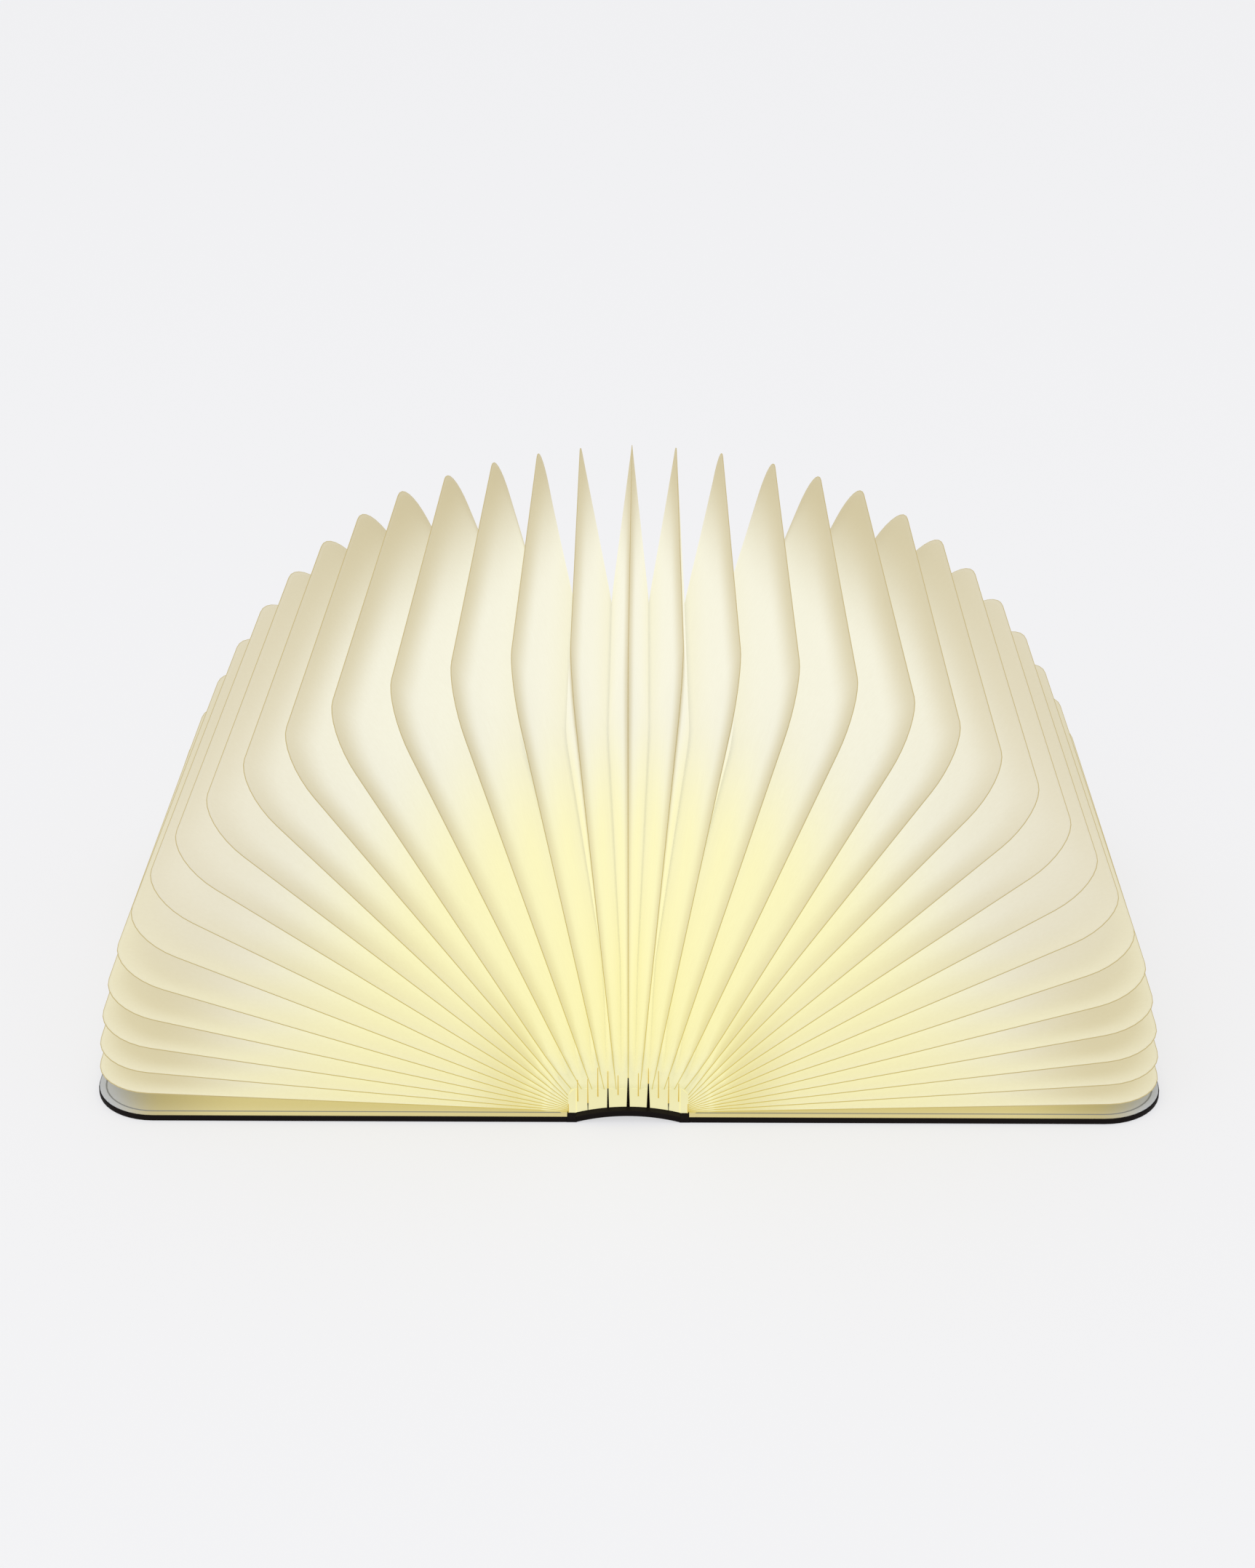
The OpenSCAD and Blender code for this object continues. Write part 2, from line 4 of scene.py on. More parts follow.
import bmesh
import bpy
from mathutils import Matrix, Vector
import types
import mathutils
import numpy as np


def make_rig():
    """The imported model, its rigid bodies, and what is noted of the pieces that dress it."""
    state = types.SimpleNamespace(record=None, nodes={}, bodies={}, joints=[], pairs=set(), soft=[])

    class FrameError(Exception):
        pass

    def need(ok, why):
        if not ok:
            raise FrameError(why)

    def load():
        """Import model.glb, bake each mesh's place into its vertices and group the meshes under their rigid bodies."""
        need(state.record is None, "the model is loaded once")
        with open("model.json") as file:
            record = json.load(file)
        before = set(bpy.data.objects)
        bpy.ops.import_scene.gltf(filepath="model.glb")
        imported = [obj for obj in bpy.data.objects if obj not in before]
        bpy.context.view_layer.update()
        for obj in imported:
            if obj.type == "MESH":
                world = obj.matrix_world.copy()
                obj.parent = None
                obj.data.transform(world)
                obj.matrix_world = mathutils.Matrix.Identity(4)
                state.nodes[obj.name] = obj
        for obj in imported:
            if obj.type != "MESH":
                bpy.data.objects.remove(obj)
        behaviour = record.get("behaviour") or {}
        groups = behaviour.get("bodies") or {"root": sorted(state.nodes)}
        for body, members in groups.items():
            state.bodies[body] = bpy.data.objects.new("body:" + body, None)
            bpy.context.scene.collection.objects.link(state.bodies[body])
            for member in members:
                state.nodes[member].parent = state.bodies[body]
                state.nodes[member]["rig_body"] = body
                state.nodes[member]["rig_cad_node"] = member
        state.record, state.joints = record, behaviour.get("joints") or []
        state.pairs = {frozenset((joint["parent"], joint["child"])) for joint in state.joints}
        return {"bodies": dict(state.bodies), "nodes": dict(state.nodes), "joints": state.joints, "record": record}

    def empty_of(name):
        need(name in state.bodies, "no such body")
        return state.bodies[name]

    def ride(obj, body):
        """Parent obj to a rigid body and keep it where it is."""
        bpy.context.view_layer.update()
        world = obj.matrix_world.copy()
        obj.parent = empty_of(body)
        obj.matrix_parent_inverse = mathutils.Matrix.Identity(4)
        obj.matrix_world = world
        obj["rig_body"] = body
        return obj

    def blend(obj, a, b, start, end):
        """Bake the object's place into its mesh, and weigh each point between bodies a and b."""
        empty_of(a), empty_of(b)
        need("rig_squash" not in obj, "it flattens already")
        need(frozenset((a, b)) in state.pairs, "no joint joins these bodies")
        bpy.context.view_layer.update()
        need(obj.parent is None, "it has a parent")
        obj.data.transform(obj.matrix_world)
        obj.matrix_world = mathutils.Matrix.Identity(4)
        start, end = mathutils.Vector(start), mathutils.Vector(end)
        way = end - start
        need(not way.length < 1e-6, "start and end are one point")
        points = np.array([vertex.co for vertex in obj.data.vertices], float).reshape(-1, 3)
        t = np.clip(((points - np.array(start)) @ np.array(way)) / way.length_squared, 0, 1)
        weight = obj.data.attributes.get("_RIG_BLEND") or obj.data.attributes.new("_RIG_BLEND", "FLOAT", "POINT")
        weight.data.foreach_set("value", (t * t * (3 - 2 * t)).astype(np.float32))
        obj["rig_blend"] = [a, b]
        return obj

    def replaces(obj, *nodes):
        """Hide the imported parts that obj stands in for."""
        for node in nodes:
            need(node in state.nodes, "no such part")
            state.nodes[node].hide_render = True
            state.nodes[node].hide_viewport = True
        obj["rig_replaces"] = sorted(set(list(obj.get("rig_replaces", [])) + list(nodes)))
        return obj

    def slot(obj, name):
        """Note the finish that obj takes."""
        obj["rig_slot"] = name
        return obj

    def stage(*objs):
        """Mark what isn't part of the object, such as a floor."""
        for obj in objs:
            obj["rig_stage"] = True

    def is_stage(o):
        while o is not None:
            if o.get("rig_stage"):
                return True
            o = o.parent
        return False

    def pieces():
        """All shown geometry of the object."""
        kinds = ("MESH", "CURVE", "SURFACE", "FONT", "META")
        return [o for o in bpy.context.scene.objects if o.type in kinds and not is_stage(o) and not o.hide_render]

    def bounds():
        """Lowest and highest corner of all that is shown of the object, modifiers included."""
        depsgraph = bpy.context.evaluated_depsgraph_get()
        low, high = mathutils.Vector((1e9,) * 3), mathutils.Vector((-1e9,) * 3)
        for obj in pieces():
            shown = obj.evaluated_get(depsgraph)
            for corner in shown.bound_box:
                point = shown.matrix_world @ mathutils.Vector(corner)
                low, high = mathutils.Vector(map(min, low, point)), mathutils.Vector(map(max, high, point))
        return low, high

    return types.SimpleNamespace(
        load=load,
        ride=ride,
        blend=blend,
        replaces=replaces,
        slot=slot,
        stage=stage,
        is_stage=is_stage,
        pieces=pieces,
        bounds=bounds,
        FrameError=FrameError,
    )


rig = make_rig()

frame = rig.load()
with open("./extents.json", "w") as f:
    json.dump({"cad": [list(corner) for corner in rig.bounds()]}, f)

MM = 0.001

# Camera: distance, elevation and aim were worked out from the fan's tips and the covers' edges.
CAMERA_PLACE = Vector((0.0, -0.92954, 0.55088))
CAMERA_TILT = math.radians(59.7)
CAMERA_TURN = math.radians(0.4)
CAMERA_LENS = 65.08
CAMERA_SHIFT = (-0.0018, 0.1031)

# The book, in millimetres. Sizes are the CAD part's, but for the endpapers' margin, the paper's
# thickness, the walls' hollow and what has no size there.
BOOK_L = 218.0
COVER_W = 166.6
COVER_T = 2.2
COVER_CORNER_R = 22.0
ENDPAPER_T = 0.25
ENDPAPER_MARGIN = 0.35
SPINE_W = 36.4
SPINE_RISE = 2.6
SPINE_T = 2.2
LINER_T = 0.25
HINGE_OFFSET = 1.8
HINGE_ROOM = 0.9
PAGE_W = 166.3
CROWN_EXTRA = 2.0
CROWN_FOLDS = 4
PAGE_L = 213.0
PAGE_CORNER_R = 19.3
PLEAT_DEPTH = 48.0
VALLEY_CORNER_R = 6.0
PAPER_T = 0.2
VALLEY_GAP = 0.16
FOLD_PITCH = 3.5
GUTTER_FOLDS = 5
GUTTER_H = 7.0
SLIT_W = 0.4
SOFT_GAP = 0.3
# Where the shoulders beside the gutter blocks end and the outer folds start.
SHOULDER_X = 20.9
FAN_SWELL = 0.19
FAN_SKEW = -0.283
WALL_HOLLOW = 0.25
BEAD_R = 0.11
# The far ends of the folds lean in by up to this many degrees.
FAR_LEAN = {"left": 3.7, "right": 1.7}
# A few of them stand a little off that even spread.
OFF_LEAN = {
    "left": {1: -1.1, 2: -0.7, 3: -0.4, 4: -0.2, 5: 0.2},
    "right": {1: 0.1, 2: 0.2, 3: -0.4, 5: 0.9},
}
# The far ends of the outer folds are also drawn in towards the spine, by up to this much.
FAR_PULL = {"left": 5.4, "right": 3.6}
# The feet of the outermost folds over the gutter are drawn in over their first stretch.
FOOT_PULL = {4: 1.3, 5: 2.9}
FOOT_BEND = 30.0
# Near its foot a pleat starts flush and then deepens.
FLUSH_U = 7.0
DEEPEN_U = 18.0
# A cover's turn from lying open to shut.
CLOSING = math.radians(90.0)
# Side of the spine, number of folds and angle of the outermost one from upright, in degrees.
FANS = {"left": (-1, 16, 87.3), "right": (1, 17, 88.5)}

HINGE_X = SPINE_W / 2 + HINGE_OFFSET
HINGE_Z = COVER_T / 2
COVER_X0 = HINGE_X + HINGE_ROOM
COVER_X1 = COVER_X0 + COVER_W
ENDPAPER_TOP = COVER_T + ENDPAPER_T
ARCH_R = (SPINE_W**2 / 4 + SPINE_RISE**2) / (2 * SPINE_RISE)
ARCH_Z = SPINE_RISE - ARCH_R
LINER_R = ARCH_R + SPINE_T + LINER_T
CROWN_Z = ARCH_Z + LINER_R
FOOT_Z = CROWN_Z + SLIT_W
GUTTER_TOP = CROWN_Z + GUTTER_H

# How far each fold turns, as a share of its cover's turn.
TURNS = {c["joint"]: c["ratio"] for c in frame["record"]["behaviour"]["couplings"]}


# ---- Shader maths ----------------------------------------------------------------------------


class Value:
    """A socket that takes part in sums, so that a rule reads as it would on paper."""

    def __init__(self, tree, socket):
        self.tree, self.socket = tree, socket

    def maths(self, operation, *others, clamp=False):
        node = self.tree.node("ShaderNodeMath", operation=operation, use_clamp=clamp)
        for slot, value in zip(node.inputs, (self, *others)):
            self.tree.put(slot, value)
        return Value(self.tree, node.outputs[0])

    def __add__(self, other):
        return self.maths("ADD", other)

    def __radd__(self, other):
        return self.maths("ADD", other)

    def __sub__(self, other):
        return self.maths("SUBTRACT", other)

    def __rsub__(self, other):
        return (self * -1.0) + other

    def __mul__(self, other):
        return self.maths("MULTIPLY", other)

    def __pow__(self, other):
        return self.maths("POWER", other)

    def clamped(self):
        return self.maths("ADD", 0.0, clamp=True)

    def rise(self, start, end):
        """0 before start, 1 after end, smooth between."""
        node = self.tree.node("ShaderNodeMapRange", interpolation_type="SMOOTHSTEP")
        for slot, value in zip(node.inputs, (self, start, end, 0.0, 1.0)):
            self.tree.put(slot, value)
        return Value(self.tree, node.outputs[0])


class Paint:
    """A Principled material whose nodes are added by one method."""

    def __init__(self, name, color=(0.8, 0.8, 0.8), roughness=0.5, metallic=0.0):
        self.material = bpy.data.materials.new(name)
        self.material.use_nodes = True
        self.nodes = self.material.node_tree.nodes
        self.links = self.material.node_tree.links
        self.surface = self.nodes["Principled BSDF"]
        self.set("Base Color", color)
        self.set("Roughness", roughness)
        self.set("Metallic", metallic)

    def node(self, kind, **settings):
        node = self.nodes.new(kind)
        for key, value in settings.items():
            setattr(node, key, value)
        return node

    def put(self, slot, value):
        if isinstance(value, Value):
            self.links.new(value.socket, slot)
        elif isinstance(value, bpy.types.NodeSocket):
            self.links.new(value, slot)
        elif slot.type == "RGBA":
            slot.default_value = (*value, 1.0)
        else:
            slot.default_value = value

    def set(self, name, value):
        self.put(self.surface.inputs[name], value)

    def shine(self, level):
        self.surface.inputs["Specular IOR Level"].default_value = level

    def glow(self, color, strength=1.0):
        self.set("Emission Color", color)
        self.surface.inputs["Emission Strength"].default_value = strength

    def object_place(self):
        place = self.node("ShaderNodeTexCoord").outputs["Object"]
        split = self.node("ShaderNodeSeparateXYZ")
        self.put(split.inputs[0], place)
        return place, [Value(self, split.outputs[k]) for k in range(3)]

    def attribute(self, name):
        node = self.node("ShaderNodeAttribute", attribute_name=name)
        return Value(self, node.outputs["Fac"])

    def mix(self, share, a, b):
        node = self.node("ShaderNodeMix", data_type="RGBA")
        self.put(node.inputs["Factor"], share)
        self.put(node.inputs[6], a)
        self.put(node.inputs[7], b)
        return node.outputs[2]

    def stretched(self, place, stretch):
        node = self.node("ShaderNodeVectorMath", operation="MULTIPLY")
        self.put(node.inputs[0], place)
        node.inputs[1].default_value = stretch
        return node.outputs[0]

    def noise(self, place, scale, detail=3.0):
        node = self.node("ShaderNodeTexNoise")
        self.put(node.inputs["Vector"], place)
        node.inputs["Scale"].default_value = scale
        node.inputs["Detail"].default_value = detail
        return Value(self, node.outputs["Fac"])

    def bump(self, height, strength, distance):
        node = self.node("ShaderNodeBump")
        node.inputs["Strength"].default_value = strength
        node.inputs["Distance"].default_value = distance
        self.put(node.inputs["Height"], height)
        self.set("Normal", node.outputs[0])


def linear(red, green, blue):
    """Linear light of an 8-bit display colour."""
    return tuple(
        c / 12.92 if c <= 0.04045 else ((c + 0.055) / 1.055) ** 2.4
        for c in (red / 255, green / 255, blue / 255)
    )


PAPER_BASE = linear(142, 139, 128)
# What the paper reflects of the studio's light and of its neighbours' glow.
PAPER_SHARE = (0.90, 0.86, 0.62)


def lit(red, green, blue):
    """Emission that brings lit paper up to a display colour."""
    wanted = linear(red, green, blue)
    return tuple(max(0.0, w - b * s) for w, b, s in zip(wanted, PAPER_BASE, PAPER_SHARE))


# Where the paper's painted glow and painted shade change, in metres from the middle of the spine's foot. X is used
# squared.
CORE_Z = 0.008
NEAR_TO_MIDDLE, MIDDLE_TO_FAR = (0.012, 0.09), (0.085, 0.145)
TO_SIDE = (0.07**2, 0.145**2)
TO_LOW_RIDGE = (0.03**2, 0.06**2)
TO_UNDERSIDE = (0.125**2, 0.165**2)
OFF_TABLE = (0.03, 0.09)
TO_FAR_END = (-0.03, 0.08)
TO_TIP = (0.146, 0.202)
OFF_ROOT_X, OFF_ROOT_Z = (0.018**2, 0.022**2), (0.012, 0.026)
# And from a fold (0) to the valley behind it (1).
OFF_RIDGE, TO_VALLEY, UNDER_RIDGE = (-0.03, 0.3), (0.5, 0.95), (0.0, 0.16)


def by_reach(paint, parts, near, middle, far):
    """A painted glow colour by the distance from the light core: light shining through the paper, painted as emission.
    """
    x, _, z = parts
    reach = (x * x + (z - CORE_Z) * (z - CORE_Z)) ** 0.5
    close = paint.mix(reach.rise(*NEAR_TO_MIDDLE), near, middle)
    return paint.mix(reach.rise(*MIDDLE_TO_FAR), close, far)


def paper_paint():
    # Light shining through the paper is painted as emission, with painted shade along the ridges, low down and towards
    # the far corners.
    paint = Paint("lit_paper", roughness=0.8)
    place, parts = paint.object_place()
    x, y, z = parts
    depth = paint.attribute("depth")
    reach = (x * x + z * z) ** 0.5
    side = (x * x).rise(*TO_SIDE)
    low = 1.0 - z.rise(*OFF_TABLE)
    # The walls' painted glow is brightest near the core, and on the middle folds more than the outer ones.
    far = paint.mix(side, lit(244, 241, 218), lit(235, 229, 203))
    wall = by_reach(paint, parts, lit(248, 242, 185), lit(249, 244, 194), far)
    shade = paint.mix(0.2, far, lit(232, 226, 206))
    valley = by_reach(paint, parts, lit(246, 239, 179), lit(245, 240, 196), shade)
    # Along a ridge the paper is doubled and lets less light through, painted as a darker glow, less so at the far ends
    # and low down.
    edge = paint.mix(side, lit(216, 205, 163), lit(228, 220, 189))
    ridge = by_reach(paint, parts, lit(232, 222, 158), lit(231, 221, 170), edge)
    ridge = paint.mix(low * (x * x).rise(*TO_LOW_RIDGE) * 0.7, ridge, lit(246, 240, 190))
    away = depth.rise(*OFF_RIDGE)
    away = away + (1.0 - away) * y.rise(*TO_FAR_END) * 0.45
    glow = paint.mix(depth.rise(*TO_VALLEY), paint.mix(away, ridge, wall), valley)
    # Low down on the outer folds, painted shade falls on the paper just off each ridge, under the fold above.
    under = paint.mix(depth.rise(*UNDER_RIDGE), lit(232, 224, 187), lit(219, 208, 165))
    glow = paint.mix(low * (x * x).rise(*TO_UNDERSIDE) * 0.8, glow, under)
    # Towards the far corners the painted glow fades into painted shade, less so on the outer folds.
    tip = (reach + y * 0.3 - depth * 0.02).rise(*TO_TIP)
    glow = paint.mix(tip * (0.95 - side * 0.55), glow, lit(207, 194, 148))
    # At the root of the middle folds the painted glow is raised to the blocks' own, to lift the shade that falls
    # there.
    root = (1.0 - (x * x).rise(*OFF_ROOT_X)) * (1.0 - z.rise(*OFF_ROOT_Z))
    glow = paint.mix(root * 0.9, glow, lit(252, 246, 187))
    grain = paint.noise(paint.stretched(place, (90.0, 90.0, 6.0)), 8.0, 4.0)
    fibre = paint.noise(place, 900.0, 2.0)
    share = ((grain - 0.5) * 0.12 + 0.04).clamped()
    paint.set("Base Color", paint.mix(share, PAPER_BASE, linear(120, 112, 90)))
    paint.glow(paint.mix(share, glow, lit(206, 192, 150)))
    paint.bump(fibre + grain, 0.12, 0.0002)
    return paint.material


def fold_paint():
    """The doubled paper along a fold lets less light through, painted as a dimmer, browner glow."""
    paint = Paint("folded_edge", color=linear(96, 80, 52), roughness=0.75)
    _, parts = paint.object_place()
    near, middle, far = linear(212, 194, 92), linear(196, 180, 104), linear(186, 172, 122)
    paint.glow(by_reach(paint, parts, near, middle, far), 0.9)
    return paint.material


def cloth_paint():
    paint = Paint("cover_cloth", roughness=0.62)
    paint.shine(0.12)
    place, _ = paint.object_place()
    weave = paint.noise(place, 1400.0, 3.0)
    patch = paint.noise(place, 45.0, 3.0)
    paint.set("Base Color", paint.mix(patch * 0.7, linear(14, 8, 7), linear(24, 17, 15)))
    paint.set("Roughness", 0.62 + patch * 0.22)
    paint.bump(weave, 0.35, 0.0002)
    return paint.material


def liner_paint():
    paint = Paint("liner_paper", roughness=0.75)
    place, parts = paint.object_place()
    mottle = paint.noise(place, 60.0, 3.0)
    x, _, _ = parts
    # Near the spine the lamp's glow falls on the endpaper. This is a painted pool of warm light: emission over a
    # warmer, darker base, fading to the paper's own grey towards the outer edge.
    outer = (x * x).rise(0.162**2, 0.182**2)
    grey = paint.mix(mottle * 0.5, linear(197, 200, 205), linear(183, 187, 194))
    painted_glow_pool = paint.mix((x * x).rise(0.13**2, 0.172**2), linear(188, 174, 110), linear(150, 138, 88))
    paint.set("Base Color", paint.mix(outer, linear(150, 144, 120), grey))
    paint.glow(paint.mix(outer, painted_glow_pool, linear(0, 0, 0)), 0.8)
    paint.bump(paint.noise(place, 800.0, 2.0), 0.1, 0.0001)
    return paint.material


def gutter_paint():
    paint = Paint("gutter_paper", roughness=0.75)
    place, parts = paint.object_place()
    _, _, z = parts
    # The blocks glow with light through the paper, painted as emission. The glow is a little dimmer towards their top,
    # as painted shade matching the pages above.
    high = z.rise(2 * MM, 12 * MM)
    grain = paint.noise(paint.stretched(place, (60.0, 60.0, 8.0)), 9.0, 3.0)
    paint.set("Base Color", paint.mix(grain * 0.25, PAPER_BASE, linear(124, 116, 84)))
    paint.glow(paint.mix(high, lit(250, 243, 186), lit(246, 239, 178)))
    return paint.material


# How much of a plain finish's roughness and colour wanders.
WEAR = 0.2


def plain(name, color, roughness=0.5, metallic=0.0, scale=300.0, gloss=0.5):
    """A plain finish whose roughness and colour wander a little."""
    paint = Paint(name, roughness=roughness, metallic=metallic)
    paint.shine(gloss)
    place, _ = paint.object_place()
    wander = paint.noise(place, scale, 3.0)
    darker = tuple(c * 0.8 for c in color)
    paint.set("Base Color", paint.mix(wander * (2 * WEAR), color, darker))
    paint.set("Roughness", roughness + (wander - 0.5) * WEAR)
    return paint.material


def glowing(name, color, strength):
    paint = Paint(name, color=color, roughness=0.4)
    paint.glow(color, strength)
    return paint.material


PAPER = paper_paint()
FOLD = fold_paint()
CLOTH = cloth_paint()
LINER = liner_paint()
LINER_LINE = Paint("liner_line", color=linear(138, 140, 142), roughness=0.7).material
GUTTER = gutter_paint()
# The lines up the slits and on the shoulders are painted shade: a dimmer, browner glow than the blocks'.
SLIT = glowing("slit_shade", linear(178, 150, 54), 0.8)
# The dark plates low in the long slits are painted shadow.
SLIT_SHADOW = plain("slit_painted_shadow", linear(16, 9, 5), 0.9, gloss=0.0)
TRAY = plain("tray_plastic", linear(232, 230, 224), 0.45)
OPAL = glowing("opal_plastic", linear(255, 246, 206), 1.0)
LENS = glowing("led_lens", linear(255, 240, 190), 2.0)
CIRCUIT = plain("circuit_board", linear(28, 92, 58), 0.4, scale=500.0)
CHIP = plain("switch_plastic", linear(26, 26, 28), 0.4)
STEEL = plain("screw_steel", linear(190, 192, 196), 0.35, 1.0)
SOCKET = plain("socket_steel", linear(196, 198, 202), 0.3, 1.0)
NICKEL = plain("magnet_nickel", linear(206, 204, 198), 0.25, 1.0)
FOIL = plain("cell_foil", linear(188, 194, 202), 0.35, 0.8)
GREYBOARD = plain("greyboard", linear(150, 146, 138), 0.85)
LEAD = plain("lead_jacket", linear(226, 226, 226), 0.5)


# ---- Shapes ----------------------------------------------------------------------------------


def piece(name, bm, material, smooth=False):
    mesh = bpy.data.meshes.new(name)
    bm.to_mesh(mesh)
    bm.free()
    obj = bpy.data.objects.new(name, mesh)
    bpy.context.scene.collection.objects.link(obj)
    mesh.materials.append(material)
    mesh.polygons.foreach_set("use_smooth", [smooth] * len(mesh.polygons))
    return obj


def modify(obj, kind, **settings):
    modifier = obj.modifiers.new(kind.lower(), kind)
    for key, value in settings.items():
        setattr(modifier, key, value)
    return modifier


def row_of(bm, points):
    """A polyline of points in millimetres."""
    verts = [bm.verts.new(Vector(p) * MM) for p in points]
    return verts, [bm.edges.new(pair) for pair in zip(verts, verts[1:])]


def swept(bm, rows):
    """Extrudes the first row of points through the others. Returns each row's vertices."""
    verts, edges = row_of(bm, rows[0])
    kept = [verts]
    for points in rows[1:]:
        grown = bmesh.ops.extrude_edge_only(bm, edges=edges)["geom"]
        edges = [e for e in grown if isinstance(e, bmesh.types.BMEdge)]
        fresh = {v for v in grown if isinstance(v, bmesh.types.BMVert)}
        verts = [
            next(e.other_vert(v) for e in v.link_edges if e.other_vert(v) in fresh) for v in verts
        ]
        for vert, point in zip(verts, points):
            vert.co = Vector(point) * MM
        order = {v: k for k, v in enumerate(verts)}
        edges = [e for e in edges if all(v in order for v in e.verts)]
        edges.sort(key=lambda e: min(order[v] for v in e.verts))
        kept.append(verts)
    return kept


# ---- Pages -----------------------------------------------------------------------------------


def fan_angle(i, count, last):
    if i > count:
        return math.pi / 2
    u = i / count
    return math.radians(last * (u + FAN_SWELL * u * (1 - u) + FAN_SKEW * u * (1 - u) * (1 - 2 * u)))


def foot(i, count):
    if i <= GUTTER_FOLDS:
        return Vector((i * FOLD_PITCH, FOOT_Z))
    t = (i - GUTTER_FOLDS) / (count + 1 - GUTTER_FOLDS)
    start = Vector((GUTTER_FOLDS * FOLD_PITCH, FOOT_Z))
    return start.lerp(Vector((HINGE_X + SOFT_GAP, ENDPAPER_TOP + SOFT_GAP)), t)


def lean(side, i, v):
    """How far fold i leans in at v, the distance from the middle towards the near end."""
    count = FANS[side][1]
    if i > count:
        return 0.0
    even = FAR_LEAN[side] * math.sin(math.pi * (i / count) ** 0.8) ** 1.5
    return math.radians(even + OFF_LEAN[side].get(i, 0.0)) * (0.5 - v / PAGE_L)


def drawn_in(side, i, u, v):
    """The distance from the foot of fold i that is left of u at v."""
    count = FANS[side][1]
    if i > count:
        return u
    share = math.sin(math.pi * (i / count) ** 1.7) ** 2 * (0.5 - v / PAGE_L)
    return u - FAR_PULL[side] * share * (u / PAGE_W) ** 2


def on_fold(side, i, u, v):
    _, count, last = FANS[side]
    a = fan_angle(i, count, last) - lean(side, i, v)
    pull = FOOT_PULL.get(i, 0.0) * max(0.0, 1 - u / FOOT_BEND) ** 2
    u = drawn_in(side, i, u, v)
    return foot(i, count) + u * Vector((math.sin(a), math.cos(a))) - Vector((pull, 0.0))


def start_u(i, count, last):
    a = fan_angle(i, count, last)
    if i <= GUTTER_FOLDS:
        return (GUTTER_TOP + SOFT_GAP - FOOT_Z) / math.cos(a)
    return max(1.0, (SHOULDER_X - foot(i, count).x) / math.sin(a))


# Stations along a page's straight foot-to-corner edge, its corner and its fore edge.
STRAIGHTS, CORNER, FORE_EDGE = 13, 8, 6


def width_of(i):
    return PAGE_W + CROWN_EXTRA * max(0.0, 1 - i / CROWN_FOLDS)


def outline(u0, width, inset, r):
    """Stations along a page's edge, as (distance from foot, distance along spine)."""
    u1, v1 = width - inset, PAGE_L / 2 - inset
    half = [(u0 + (u1 - r - u0) * (k / STRAIGHTS) ** 1.5, v1) for k in range(STRAIGHTS)]
    half += [
        (u1 - r + r * math.sin(a), v1 - r + r * math.cos(a))
        for a in (math.pi / 2 * k / CORNER for k in range(CORNER + 1))
    ]
    middle = [(u1, (v1 - r) * (1 - 2 * k / FORE_EDGE)) for k in range(1, FORE_EDGE)]
    return half + middle + [(u, -v) for u, v in reversed(half)]


# Stations across a wall, as shares of the way from its fold down to its valley.
ACROSS = (0.0, 0.03, 0.12, 0.3, 0.5, 0.7, 0.88, 1.0)


def fold_turn(side, i, count):
    if i == 0:
        return 0.0
    return 1.0 if i > count else TURNS[f"page_{side}_{i:02d}_turn"]


def blended(obj, side, body):
    """Each point follows the body by the share in its turn attribute, and the spine by the rest."""
    weight = obj.data.attributes["turn"]
    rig.blend(obj, "spine", body, (0, 0, 0), (FANS[side][0] * 0.1, 0, 0))
    for place, source in zip(obj.data.attributes["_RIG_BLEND"].data, weight.data):
        place.value = source.value
    obj.data.attributes.remove(weight)


def deepened(u0, u, v):
    t = max(0.0, min(1.0, (u - u0 - FLUSH_U) / DEEPEN_U))
    t = t * t * (3 - 2 * t)
    return math.copysign(abs(v) * t + (PAGE_L / 2 - SOFT_GAP) * (1 - t), v)


